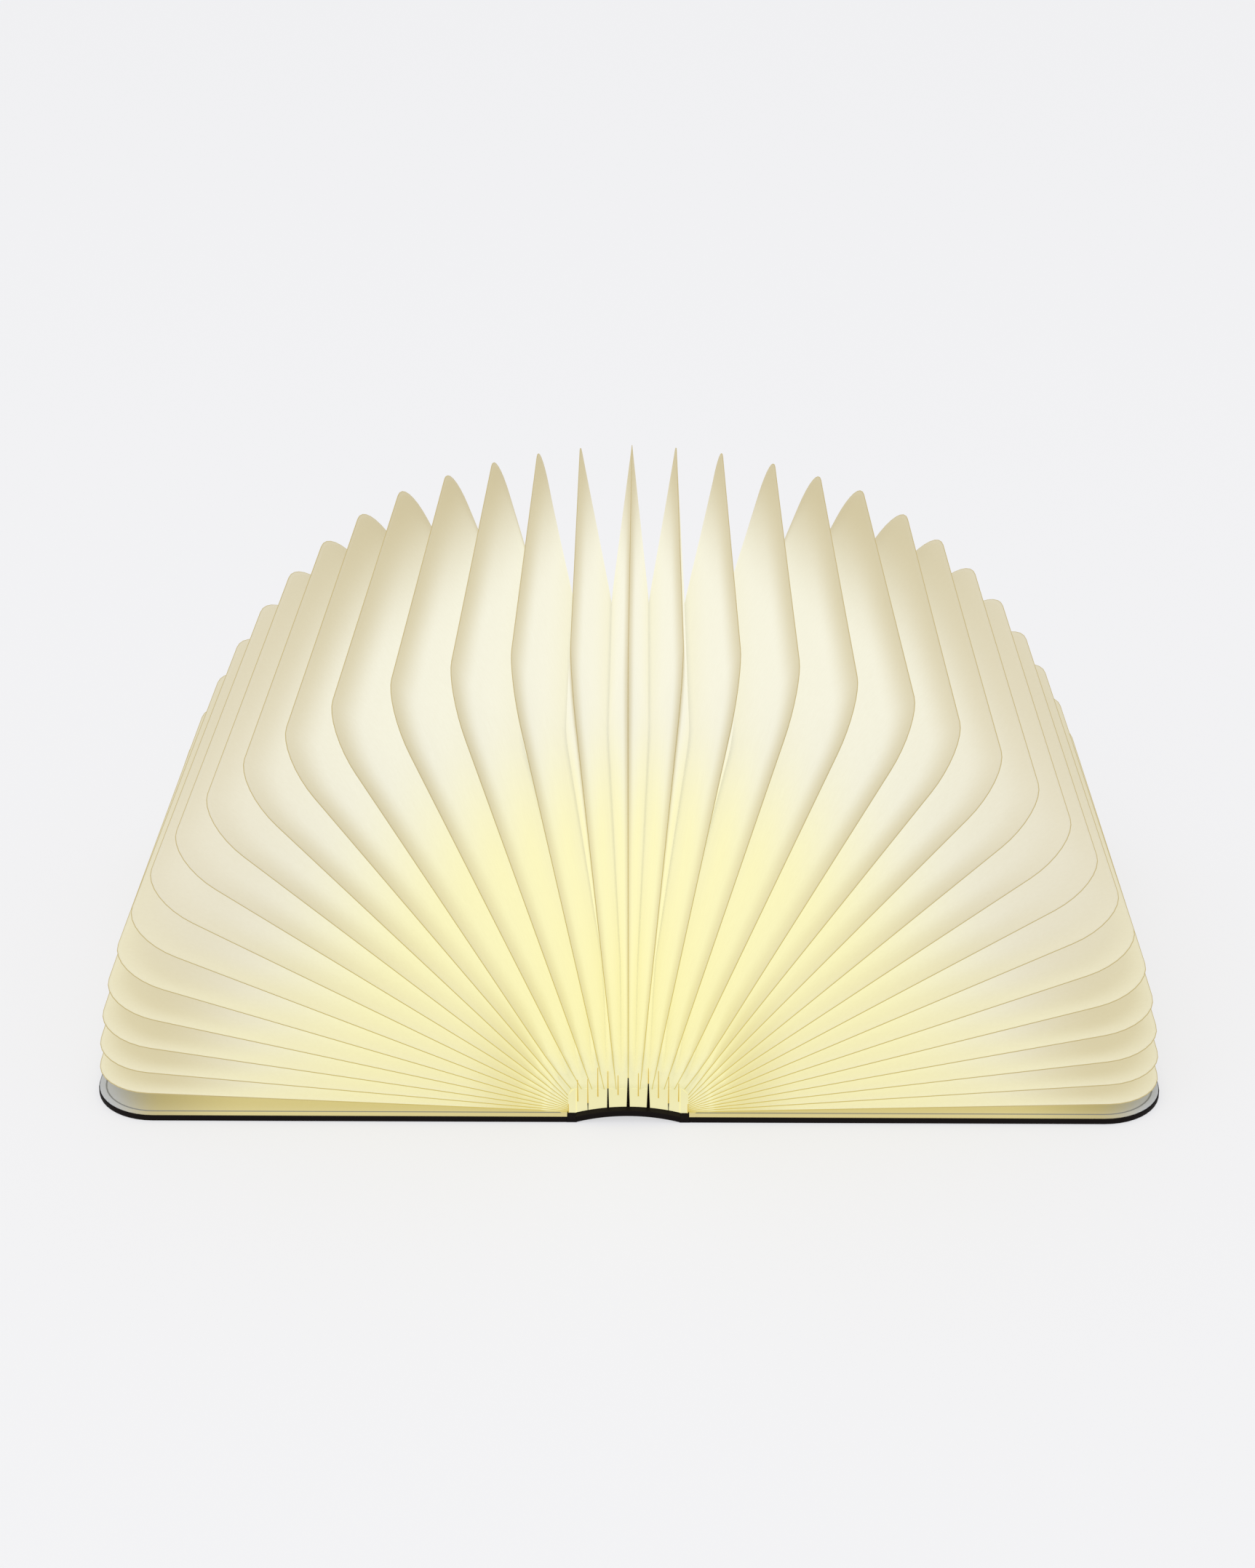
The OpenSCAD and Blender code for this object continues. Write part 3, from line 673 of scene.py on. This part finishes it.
def page_cell(side, i):
    """Paper from fold i down to the valley and, but for the last one, up again to fold i + 1."""
    sign, count, last = FANS[side]
    j = i + 1
    edges = [i, i if j > count else j]
    ends = [outline(start_u(k, count, last), width_of(k), 0, PAGE_CORNER_R) for k in edges]
    u0 = (ends[0][0][0] + ends[1][0][0]) / 2
    width = (width_of(edges[0]) + width_of(edges[1])) / 2
    valley = outline(u0, width, PLEAT_DEPTH, VALLEY_CORNER_R)
    valley = [(u, deepened(u0, u, v)) for u, v in valley]
    if j > count:
        plan = [(0, t, t * (1 - WALL_HOLLOW * (1 - t))) for t in ACROSS]
    else:
        near = [(0, t, 0.5 * t * (1 - WALL_HOLLOW * (1 - t))) for t in ACROSS]
        plan = near + [(1, t, 1 - s) for _, t, s in reversed(near[:-1])]
    turns = fold_turn(side, i, count), fold_turn(side, j, count)
    rows, shares = [], []
    for end, t, share in plan:
        row, parts = [], []
        for ridge, low in zip(ends[end], valley):
            u, v = ridge[0] + t * (low[0] - ridge[0]), ridge[1] + t * (low[1] - ridge[1])
            a, b = on_fold(side, i, u, v), on_fold(side, j, u, v)
            s = share
            if j > count:
                s = min(s, 1 - VALLEY_GAP / max((b - a).length, VALLEY_GAP * 2))
            p = a + s * (b - a)
            row.append((sign * p.x, -v, p.y))
            leans = lean(side, i, v), lean(side, j, v)
            parts.append([ends[0] + s * (ends[1] - ends[0]) for ends in (turns, leans)])
        rows.append(row)
        shares.append(parts)
    bm = bmesh.new()
    depth = bm.verts.layers.float.new("depth")
    turn = bm.verts.layers.float.new("turn")
    for verts, parts, (_, t, _) in zip(swept(bm, rows), shares, plan):
        for vert, (share, leant) in zip(verts, parts):
            vert[depth] = t
            vert[turn] = (share - leant / CLOSING) / turns[1]
    bmesh.ops.recalc_face_normals(bm, faces=bm.faces)
    obj = piece(f"paper_{side}_{j:02d}", bm, PAPER, smooth=True)
    blended(obj, side, f"page_{side}_{j:02d}" if j <= count else f"{side}_cover")
    modify(obj, "SOLIDIFY", thickness=PAPER_T * MM, offset=0.0)
    return obj


def fold_bead(side, i):
    """The pressed edge of a fold."""
    sign, count, last = FANS[side]
    a = fan_angle(i, count, last)
    out = BEAD_R * Vector((math.cos(a), -math.sin(a)))
    stations = outline(start_u(i, count, last), width_of(i), 0, PAGE_CORNER_R)
    rows = []
    for way in (-1, 1):
        row = [(on_fold(side, i, u, v) + way * out, v) for u, v in stations]
        rows.append([(sign * p.x, -v, p.y) for p, v in row])
    bm = bmesh.new()
    turn = bm.verts.layers.float.new("turn")
    for verts in swept(bm, rows):
        for vert, (_, v) in zip(verts, stations):
            vert[turn] = 1 - lean(side, i, v) / CLOSING / fold_turn(side, i, count) if i else 0.0
    obj = piece(f"fold_{side}_{i:02d}", bm, FOLD, smooth=True)
    blended(obj, side, f"page_{side}_{max(i, 1):02d}")
    modify(obj, "SOLIDIFY", thickness=2 * BEAD_R * MM, offset=0.0)
    return obj


for side, (_, count, _) in FANS.items():
    for i in range(count + 1):
        cell = page_cell(side, i)
        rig.slot(cell, "page_paper")
        if i < count:
            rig.replaces(cell, f"page_{side}_{i + 1:02d}")
        if i:
            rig.slot(fold_bead(side, i), "page_paper")
centre = fold_bead("left", 0)
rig.slot(centre, "page_paper")
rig.replaces(centre, "page_centre")


# ---- Covers and spine ------------------------------------------------------------------------


# The line printed on the endpapers: its distance from the cover's edge and its width.
LINE_INSET, LINE_W = 2.4, 0.5


def border(sign, inset):
    """A cover's outline from the near end of its hinge round to the far end."""
    x0, x1 = COVER_X0 + inset, COVER_X1 - inset
    y, r = BOOK_L / 2 - inset, COVER_CORNER_R - inset
    arc = [math.pi / 2 * k / 12 for k in range(13)]
    corner = [(x1 - r + r * math.sin(a), -y + r - r * math.cos(a)) for a in arc]
    edge = [(x0, -y)] + corner
    return [(sign * x, v) for x, v in edge + [(x, -v) for x, v in reversed(edge)]]


def slab(bm, inset, z0, z1, sign):
    """A plate within a cover's outline."""
    verts = [bm.verts.new(Vector((x, v, z0)) * MM) for x, v in border(sign, inset)]
    face = bm.faces.new(verts)
    grown = bmesh.ops.extrude_face_region(bm, geom=[face])["geom"]
    top = [v for v in grown if isinstance(v, bmesh.types.BMVert)]
    bmesh.ops.translate(bm, verts=top, vec=(0, 0, (z1 - z0) * MM))
    bmesh.ops.recalc_face_normals(bm, faces=bm.faces)


def rounded(bm, radius, segments=3, angle=60):
    """Rounds the edges sharper than an angle."""
    least = math.radians(angle)
    sharp = [e for e in bm.edges if len(e.link_faces) == 2 and e.calc_face_angle() > least]
    bmesh.ops.bevel(
        bm,
        geom=sharp,
        offset=radius * MM,
        segments=segments,
        profile=0.5,
        affect="EDGES",
        material=-1,
    )


def cover(side):
    sign = FANS[side][0]
    body = f"{side}_cover"
    bm = bmesh.new()
    slab(bm, 0, 0, COVER_T, sign)
    rounded(bm, 0.4)
    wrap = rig.ride(piece(f"{side}_cloth", bm, CLOTH, smooth=True), body)
    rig.slot(wrap, "cover_cloth")
    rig.replaces(wrap, f"{side}_cover_wrap")
    bm = bmesh.new()
    slab(bm, ENDPAPER_MARGIN, COVER_T - 0.02, ENDPAPER_TOP, sign)
    rounded(bm, 0.08, 2)
    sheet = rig.ride(piece(f"{side}_lining", bm, LINER, smooth=True), body)
    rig.slot(sheet, "liner_paper")
    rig.replaces(sheet, f"{side}_endpaper")
    bm = bmesh.new()
    for line in (border(sign, LINE_INSET), border(sign, LINE_INSET + LINE_W)):
        for x, y in line:
            bm.verts.new(Vector((x, y, ENDPAPER_TOP + 0.03)) * MM)
    bm.verts.ensure_lookup_table()
    half = len(bm.verts) // 2
    for k in range(half - 1):
        bm.faces.new([bm.verts[k], bm.verts[k + 1], bm.verts[half + k + 1], bm.verts[half + k]])
    bmesh.ops.recalc_face_normals(bm, faces=bm.faces)
    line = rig.ride(piece(f"{side}_lining_line", bm, LINER_LINE), body)
    modify(line, "SOLIDIFY", thickness=0.06 * MM, offset=0.0)
    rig.slot(line, "liner_paper")


for side in FANS:
    cover(side)


def arch(name, r0, r1, material, slot_name, nodes, y=BOOK_L / 2, edge=0.0):
    """A layer of the spine, bent round its arch and drawn out along the book."""
    half = math.asin(SPINE_W / 2 / ARCH_R)
    steps = 24
    angles = [half * (2 * k / steps - 1) for k in range(steps + 1)]

    def at(r, a):
        x = max(-SPINE_W / 2, min(SPINE_W / 2, r * math.sin(a)))
        return x, ARCH_Z + math.sqrt(r * r - x * x)

    ring = [at(r0, a) for a in angles] + [at(r1, a) for a in reversed(angles)]
    bm = bmesh.new()
    face = bm.faces.new([bm.verts.new(Vector((x, -y, z)) * MM) for x, z in ring])
    grown = bmesh.ops.extrude_face_region(bm, geom=[face])["geom"]
    bmesh.ops.translate(
        bm, verts=[v for v in grown if isinstance(v, bmesh.types.BMVert)], vec=(0, 2 * y * MM, 0)
    )
    bmesh.ops.recalc_face_normals(bm, faces=bm.faces)
    if edge:
        rounded(bm, edge)
    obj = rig.ride(piece(name, bm, material, smooth=True), "spine")
    modify(obj, "WEIGHTED_NORMAL", keep_sharp=True)
    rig.slot(obj, slot_name)
    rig.replaces(obj, *nodes)
    return obj


SPINE_TOP_R = ARCH_R + SPINE_T
BOARDED = ["spine_wrap", "spine_board"]
arch("spine_cloth", ARCH_R, SPINE_TOP_R, CLOTH, "cover_cloth", BOARDED, edge=0.4)
arch("spine_lining", SPINE_TOP_R, LINER_R, LINER, "liner_paper", ["spine_liner"], y=PAGE_L / 2 - 1)


def hinge_cloth(side):
    """The cloth between spine and cover, which bends as the cover turns."""
    sign = FANS[side][0]
    x0, x1 = SPINE_W / 2 - 0.3, COVER_X0 + 0.5
    steps = 8
    xs = [x0 + (x1 - x0) * k / steps for k in range(steps + 1)]
    y = BOOK_L / 2
    bm = bmesh.new()
    swept(bm, [[(sign * x, y * (2 * k / 4 - 1), HINGE_Z) for x in xs] for k in range(5)])
    bmesh.ops.recalc_face_normals(bm, faces=bm.faces)
    obj = piece(f"{side}_hinge_cloth", bm, CLOTH, smooth=True)
    start, end = (sign * (SPINE_W / 2) * MM, 0, 0), (sign * COVER_X0 * MM, 0, 0)
    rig.blend(obj, "spine", f"{side}_cover", start, end)
    modify(obj, "SOLIDIFY", thickness=(COVER_T - 0.3) * MM, offset=0.0)
    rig.slot(obj, "cover_cloth")
    return obj


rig.replaces(hinge_cloth("left"), "hinge_cloths")
hinge_cloth("right")


# ---- Gutter ----------------------------------------------------------------------------------


def prism(bm, section, y0, y1):
    """A section in the X-Z plane drawn out along the book."""
    face = bm.faces.new([bm.verts.new(Vector((x, y0, z)) * MM) for x, z in section])
    grown = bmesh.ops.extrude_face_region(bm, geom=[face])["geom"]
    drawn = [v for v in grown if isinstance(v, bmesh.types.BMVert)]
    bmesh.ops.translate(bm, verts=drawn, vec=(0, (y1 - y0) * MM, 0))


def seat(x):
    return ARCH_Z + math.sqrt((LINER_R + 0.05) ** 2 - x * x)


# Long slits between the blocks: place, width at the foot, rise of the dark part (painted shadow) and of the whole.
LONG_SLITS = [
    (-14.0, 0.2, 3.0, 12.9),
    (-7.0, 0.75, 8.0, 14.8),
    (0.0, 1.15, 12.0, 12.2),
    (7.0, 1.2, 10.0, 16.0),
    (14.0, 0.2, 3.0, 13.9),
]
# Short slits in the middle of each block: place, foot and top over the liner.
SHORT_SLITS = [
    (-17.5, 4.5, 13.4),
    (-10.5, 5.0, 16.8),
    (-3.5, 5.0, 13.0),
    (3.5, 4.5, 13.9),
    (10.5, 4.5, 15.6),
    (17.5, 4.5, 12.0),
]
GUTTER_Y = (106.5, 59.0)
BLOCK_TOP = GUTTER_TOP + 0.35
# Half the width of a slit's line, at its foot and at its top.
LINE_HALF, LINE_TIP_HALF = 0.19, 0.1
# How far a plate of lines stands proud of the blocks' end face, and how far it reaches in.
PROUD, SUNK = 0.2, 0.4
# The shoulder fills the hinge groove beside the blocks and closes into this much.
SQUEEZED = 0.6


def plate(bm, section, end):
    """A thin plate just proud of the blocks' end face."""
    y = end * GUTTER_Y[0]
    prism(bm, section, y - end * SUNK, y + end * PROUD)


def gutter(end):
    y0, y1 = sorted(end * y for y in GUTTER_Y)
    name = "near" if end < 0 else "far"
    bm = bmesh.new()
    edges = [(-SPINE_W / 2, 0.0)] + [(x, w) for x, w, _, _ in LONG_SLITS] + [(SPINE_W / 2, 0.0)]
    for (xa, wa), (xb, wb) in zip(edges, edges[1:]):
        a, b = xa + wa / 2, xb - wb / 2
        feet = [(a + (b - a) * k / 4, seat(a + (b - a) * k / 4)) for k in range(5)]
        prism(bm, feet + [(xb - 0.03, BLOCK_TOP), (xa + 0.03, BLOCK_TOP)], y0, y1)
    bmesh.ops.recalc_face_normals(bm, faces=bm.faces)
    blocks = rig.ride(piece(f"{name}_gutter", bm, GUTTER), "spine")
    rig.slot(blocks, "gutter_paper")
    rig.replaces(blocks, f"{name}_gutter_blocks")
    bm = bmesh.new()
    # Dark plates low in the long slits: painted shadow deep in the gaps.
    for x, w, dark, _ in LONG_SLITS:
        z = seat(x)
        top = [(x + LINE_HALF, z + dark), (x - LINE_HALF, z + dark)]
        plate(bm, [(x - w / 2, z), (x + w / 2, z)] + top, end)
    bmesh.ops.recalc_face_normals(bm, faces=bm.faces)
    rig.slot(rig.ride(piece(f"{name}_slits", bm, SLIT_SHADOW), "spine"), "gutter_paper")
    # Lines up the slits, painted as a dimmer glow.
    bm = bmesh.new()
    lines = [(x, dark, high) for x, _, dark, high in LONG_SLITS] + SHORT_SLITS
    for x, low, high in lines:
        z = seat(x)
        foot_line = [(x - LINE_HALF, z + low), (x + LINE_HALF, z + low)]
        plate(bm, foot_line + [(x + LINE_TIP_HALF, z + high), (x - LINE_TIP_HALF, z + high)], end)
    bmesh.ops.recalc_face_normals(bm, faces=bm.faces)
    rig.slot(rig.ride(piece(f"{name}_short_slits", bm, SLIT), "spine"), "gutter_paper")


def closed_share(x, z):
    """The share of the cover's turn that brings a point of the shoulder to its closed place."""
    if x <= SPINE_W / 2:
        return 0.0
    reach = math.hypot(x - HINGE_X, z - HINGE_Z)
    goal = SPINE_W / 2 + SQUEEZED * (x - SPINE_W / 2) / (SHOULDER_X - SPINE_W / 2)
    closed = math.asin(max(-1.0, (goal - HINGE_X) / reach))
    return (math.atan2(x - HINGE_X, z - HINGE_Z) - closed) / CLOSING


def shoulder(side, end):
    sign = FANS[side][0]
    y0, y1 = sorted(end * y for y in GUTTER_Y)
    inner, low = SPINE_W / 2 - 0.4, ENDPAPER_TOP + 0.05
    beside = GUTTER_FOLDS + 1
    top = on_fold(side, beside, start_u(beside, *FANS[side][1:]), end * -PAGE_L / 2)
    bm = bmesh.new()
    section = [(inner, seat(inner)), (SPINE_W / 2, low), (19.5, low), (SHOULDER_X, low)]
    section += [(SHOULDER_X, (low + top.y) / 2), (SHOULDER_X, top.y)]
    section += [(19.7, (top.y + BLOCK_TOP) / 2 + 0.1), (SPINE_W / 2 + 0.3, BLOCK_TOP)]
    section.append((inner, BLOCK_TOP))
    prism(bm, [(sign * x, z) for x, z in section], y0, y1)
    bmesh.ops.recalc_face_normals(bm, faces=bm.faces)
    turn = bm.verts.layers.float.new("turn")
    for vert in bm.verts:
        vert[turn] = closed_share(abs(vert.co.x) / MM, vert.co.z / MM)
    name = "near" if end < 0 else "far"
    obj = piece(f"{name}_{side}_shoulder", bm, GUTTER)
    blended(obj, side, f"{side}_cover")
    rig.slot(obj, "gutter_paper")
    # A line on the shoulder, painted in the slits' dimmer glow.
    bm = bmesh.new()
    low, high = low + 0.1, (low + top.y) / 2
    y = end * (GUTTER_Y[0] + 0.1)
    ends = [(sign * x, y, z) for x, z in ((SHOULDER_X - 0.25, low), (SHOULDER_X - 0.2, high))]
    others = [(x + sign * 0.22, y, z) for x, y, z in ends]
    turn = bm.verts.layers.float.new("turn")
    for verts in swept(bm, [ends, others]):
        for vert in verts:
            vert[turn] = closed_share(abs(vert.co.x) / MM, vert.co.z / MM)
    obj = piece(f"{name}_{side}_shoulder_line", bm, SLIT)
    blended(obj, side, f"{side}_cover")
    modify(obj, "SOLIDIFY", thickness=0.2 * MM, offset=0.0)
    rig.slot(obj, "gutter_paper")


for end in (-1, 1):
    gutter(end)
    for side in FANS:
        shoulder(side, end)


# ---- Pieces kept from the CAD model ----------------------------------------------------------

FINISHES = {
    "left_cover_board": GREYBOARD,
    "right_cover_board": GREYBOARD,
    "left_cover_magnets": NICKEL,
    "right_cover_magnets": NICKEL,
    "core_tray": TRAY,
    "core_end_caps": TRAY,
    "core_screws": STEEL,
    "led_board": CIRCUIT,
    "led_chips": LENS,
    "diffuser": OPAL,
    "battery_cell": FOIL,
    "charge_board": CIRCUIT,
    "hall_switch": CHIP,
    "charge_socket": SOCKET,
    "charge_lead": LEAD,
}
for name, material in FINISHES.items():
    mesh = frame["nodes"][name].data
    mesh.materials.clear()
    mesh.materials.append(material)


# ---- Floor, light and camera -----------------------------------------------------------------

FLOOR = linear(242, 242, 244)


def seen(tree):
    """1 on the rays by which the camera sees a thing, 0 on those that carry its light elsewhere."""
    rays = tree.nodes.new("ShaderNodeLightPath")
    share = rays.outputs["Is Camera Ray"]
    for name in ("Is Glossy Ray", "Is Transmission Ray"):
        total = tree.nodes.new("ShaderNodeMath")
        total.operation = "ADD"
        total.use_clamp = True
        tree.links.new(share, total.inputs[0])
        tree.links.new(rays.outputs[name], total.inputs[1])
        share = total.outputs[0]
    return share


bm = bmesh.new()
bmesh.ops.create_grid(bm, x_segments=1, y_segments=1, size=6.0)
paint = Paint("floor", color=tuple(c * 0.32 for c in FLOOR), roughness=0.9)
paint.shine(0.0)
paint.glow(paint.mix(seen(paint.material.node_tree), (0.0, 0.0, 0.0), FLOOR), 0.7)
floor = piece("floor", bm, paint.material)
floor.data.transform(Matrix.Translation((0, 0, -0.0001)))
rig.stage(floor)

world = bpy.data.worlds.new("studio")
bpy.context.scene.world = world
world.use_nodes = True
tree = world.node_tree
light = tree.nodes["Background"]
light.inputs["Color"].default_value = (1.0, 1.0, 1.0, 1.0)
light.inputs["Strength"].default_value = 0.86
backdrop = tree.nodes.new("ShaderNodeBackground")
backdrop.inputs["Color"].default_value = (*FLOOR, 1.0)
choice = tree.nodes.new("ShaderNodeMixShader")
tree.links.new(seen(tree), choice.inputs[0])
tree.links.new(light.outputs[0], choice.inputs[1])
tree.links.new(backdrop.outputs[0], choice.inputs[2])
tree.links.new(choice.outputs[0], tree.nodes["World Output"].inputs[0])

lamp = bpy.data.lights.new("soft_box", "AREA")
lamp.energy = 6.0
lamp.size = 1.6
soft_box = bpy.data.objects.new("soft_box", lamp)
soft_box.location = (-0.5, -0.9, 1.8)
aim = Vector((0, 0, 0.05)) - soft_box.location
soft_box.rotation_euler = aim.to_track_quat("-Z", "Y").to_euler()
bpy.context.scene.collection.objects.link(soft_box)

camera = bpy.data.objects.new("camera", bpy.data.cameras.new("camera"))
camera.location = Matrix.Rotation(CAMERA_TURN, 4, "Z") @ CAMERA_PLACE
camera.rotation_euler = (CAMERA_TILT, 0.0, CAMERA_TURN)
camera.data.sensor_width = 36.0
camera.data.lens = CAMERA_LENS
camera.data.shift_x, camera.data.shift_y = CAMERA_SHIFT
bpy.context.scene.collection.objects.link(camera)
bpy.context.scene.camera = camera

bpy.context.scene.view_settings.view_transform = "Standard"

with open("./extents.json") as f:
    sizes = json.load(f)
sizes["visual"] = [list(corner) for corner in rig.bounds()]
with open("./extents.json", "w") as f:
    json.dump(sizes, f)
